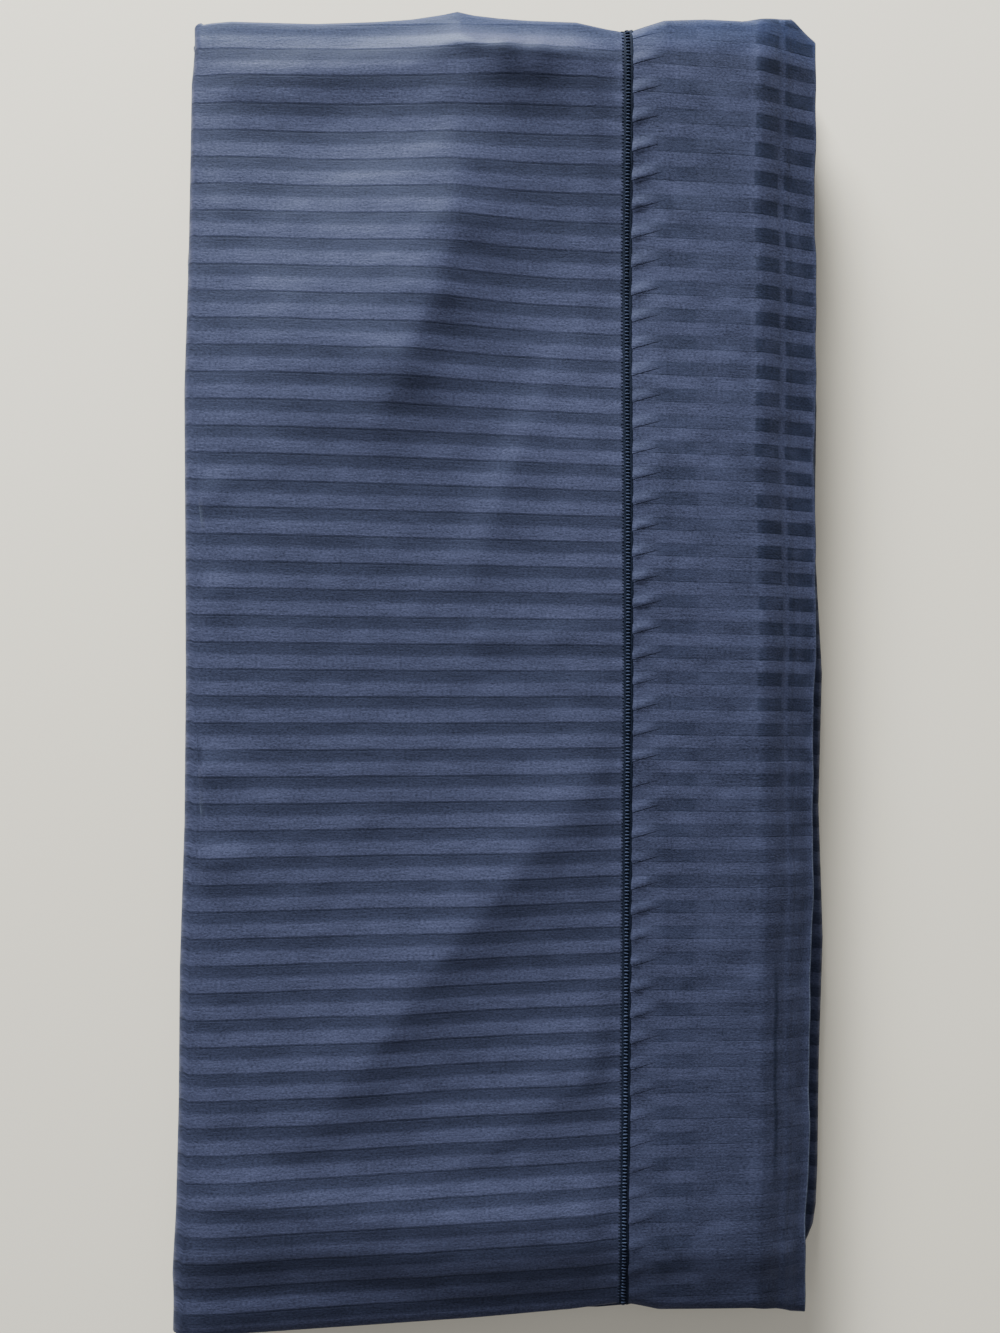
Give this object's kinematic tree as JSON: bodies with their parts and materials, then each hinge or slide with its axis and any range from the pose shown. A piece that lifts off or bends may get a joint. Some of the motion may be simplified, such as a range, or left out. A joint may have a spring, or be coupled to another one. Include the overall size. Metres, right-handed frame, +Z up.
{
  "type": "folded flat sheet",
  "caption": "Flat bed sheet of striped cloth with a deep corded top hem, folded into a long flat packet that lies on a surface.",
  "frame": {"origin": "on the surface the packet lies on, under the middle of its outline", "axes": "+Z up, +Y along the packet's long side, +X towards the side where the hem's edge lies on top"},
  "size_m": [0.3466, 0.6924, 0.0482],
  "materials": {
    "striped_cloth": "navy cotton sateen with even crosswise stripes, satin against matte",
    "thread": "dark navy embroidery thread"
  },
  "bodies": {
    "root": {"sheet": "striped_cloth", "hem_cord": "thread"}
  },
  "joints": []
}
